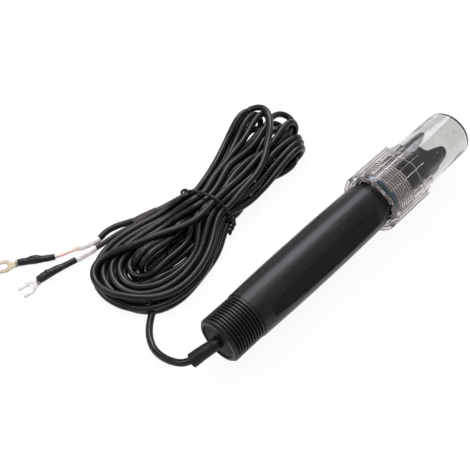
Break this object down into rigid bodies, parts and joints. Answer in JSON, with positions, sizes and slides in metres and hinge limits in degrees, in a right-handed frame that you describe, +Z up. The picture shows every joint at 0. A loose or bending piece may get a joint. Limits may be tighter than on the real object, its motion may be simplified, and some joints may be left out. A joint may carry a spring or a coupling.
{
  "type": "ph electrode",
  "caption": "Threaded in-line pH electrode in a black barrel, with a clear screw-on storage bottle over its tip and a long tied cable ending in fork terminals.",
  "frame": {"origin": "on the floor, below the middle of the probe and its bottle", "axes": "+X along the probe towards the sensing tip, +Z up, the tied cable lies on the +Y side"},
  "size_m": [0.2475, 0.1509, 0.0372],
  "materials": {
    "barrel_plastic": "smooth moulded black engineering plastic, soft sheen",
    "potting_epoxy": "black potting resin, flat and slightly glossy",
    "clear_plastic": "clear moulded polystyrene, faint warm grey tint, glossy",
    "sensing_glass": "thin clear lab glass",
    "porous_ptfe": "matt white porous ring",
    "gel": "thick translucent electrolyte gel",
    "silver": "dull silver wire",
    "cork_rubber": "small dark rubber plug",
    "blue_silicone": "matt steel-blue silicone",
    "black_seal": "soft black sealing rubber",
    "black_sleeve": "black shrunk sleeving, satin",
    "black_cable": "black flexible cable jacket, soft highlights",
    "tie_black": "thin black twist tie",
    "split_shrink": "brownish black shrunk sleeving",
    "inner_wire": "pinkish translucent wire insulation",
    "shield_wire": "brownish black wire sleeving",
    "white_marker": "matt white marker tube",
    "tin_warm": "tinned copper, warm and slightly dull",
    "tin_bright": "bright tinned copper"
  },
  "bodies": {
    "probe": {"housing": "barrel_plastic", "potting_plug": "potting_epoxy", "glass_stem": "sensing_glass", "glass_bulb": "sensing_glass", "junction_ring": "porous_ptfe", "reference_gel": "gel", "reference_wire": "silver", "stem_cork": "cork_rubber", "silver_wire": "silver", "strain_relief": "black_sleeve", "cable_root": "black_cable", "cable_lead": "black_cable", "cable_coil": "black_cable", "cable_tail": "black_cable", "twist_tie": "tie_black", "split_sleeve": "split_shrink", "signal_core": "inner_wire", "signal_tube": "black_sleeve", "signal_marker": "white_marker", "signal_shrink": "black_sleeve", "signal_fork": "tin_warm", "shield_core": "shield_wire", "shield_marker": "white_marker", "shield_shrink": "black_sleeve", "shield_fork": "tin_bright"},
    "seal": {"seal_ring": "black_seal"},
    "gasket": {"blue_ring": "blue_silicone"},
    "bottle": {"storage_bottle": "clear_plastic"}
  },
  "joints": [
    {"name": "cap_pull_off", "type": "slide", "parent": "probe", "child": "seal", "axis": [1, 0, 0], "range_m": [0, 0.085]},
    {"name": "cap_advance", "type": "slide", "parent": "seal", "child": "gasket", "axis": [1, 0, 0], "range_m": [0, 0.01451]},
    {"name": "cap_turn", "type": "hinge", "parent": "gasket", "child": "bottle", "pos_m": [0.04, 0, 0.0186], "axis": [1, 0, 0], "range_deg": [0, 2879.5]}
  ],
  "couplings": [
    {"joint": "cap_advance", "follows": "cap_turn", "m_per_rad": 0.00028871}
  ]
}
